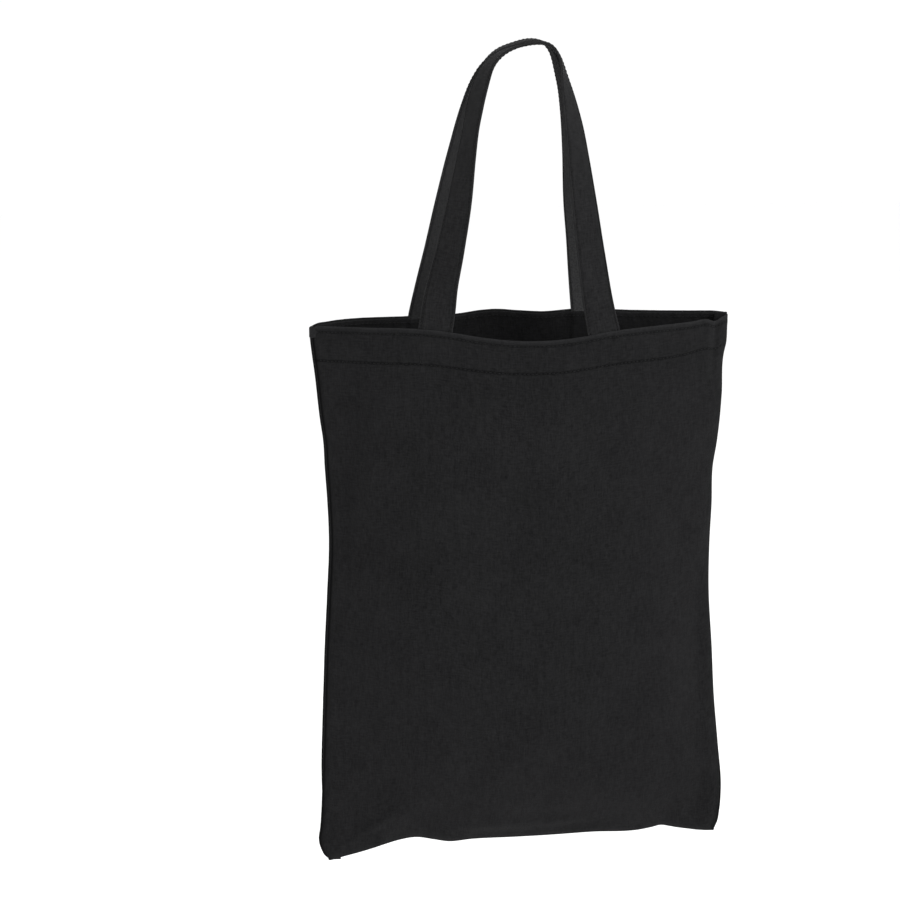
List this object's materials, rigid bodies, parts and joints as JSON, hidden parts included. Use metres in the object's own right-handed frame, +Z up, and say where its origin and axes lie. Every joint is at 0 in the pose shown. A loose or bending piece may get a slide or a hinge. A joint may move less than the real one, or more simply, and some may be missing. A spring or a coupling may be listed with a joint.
{
  "type": "canvas tote bag",
  "caption": "Plain flat cloth tote bag hanging from its two short handles, mouth slightly open, hem faced inside, strap ends caught in the hem.",
  "frame": {"origin": "the hang point: midway between the two handles, level with the underside of their tops, where a hook or hand carries the bag", "axes": "+X to the right along the bag's width, the front panel faces -Y, +Z up"},
  "size_m": [0.3156, 0.0901, 0.6186],
  "materials": {
    "canvas": "matt black plain-weave cotton canvas",
    "strap_canvas": "matt black folded canvas strap, edge stitched",
    "thread": "black polyester sewing thread, slight sheen"
  },
  "bodies": {
    "bag": {"front_panel": "canvas", "front_facing": "canvas", "front_rim_stitch": "thread", "front_hem_stitch": "thread", "front_left_strap_end": "strap_canvas", "front_right_strap_end": "strap_canvas", "back_panel": "canvas", "back_facing": "canvas", "back_rim_stitch": "thread", "back_hem_stitch": "thread", "back_left_strap_end": "strap_canvas", "back_right_strap_end": "strap_canvas", "left_seam_stitch": "thread", "left_overlock_thread": "thread", "right_seam_stitch": "thread", "right_overlock_thread": "thread", "bottom_seam_stitch": "thread", "bottom_overlock_thread": "thread"},
    "front_handle": {"front_handle_strap": "strap_canvas", "front_handle_outer_stitch": "thread", "front_handle_inner_stitch": "thread"},
    "back_handle": {"back_handle_strap": "strap_canvas", "back_handle_outer_stitch": "thread", "back_handle_inner_stitch": "thread"}
  },
  "joints": [
    {"name": "front_handle_swing", "type": "hinge", "parent": "bag", "child": "front_handle", "pos_m": [0, -0.0435, -0.199], "axis": [1, 0, 0], "range_deg": [0, 175]},
    {"name": "back_handle_swing", "type": "hinge", "parent": "bag", "child": "back_handle", "pos_m": [0, 0.0315, -0.199], "axis": [-1, 0, 0], "range_deg": [0, 175]}
  ]
}
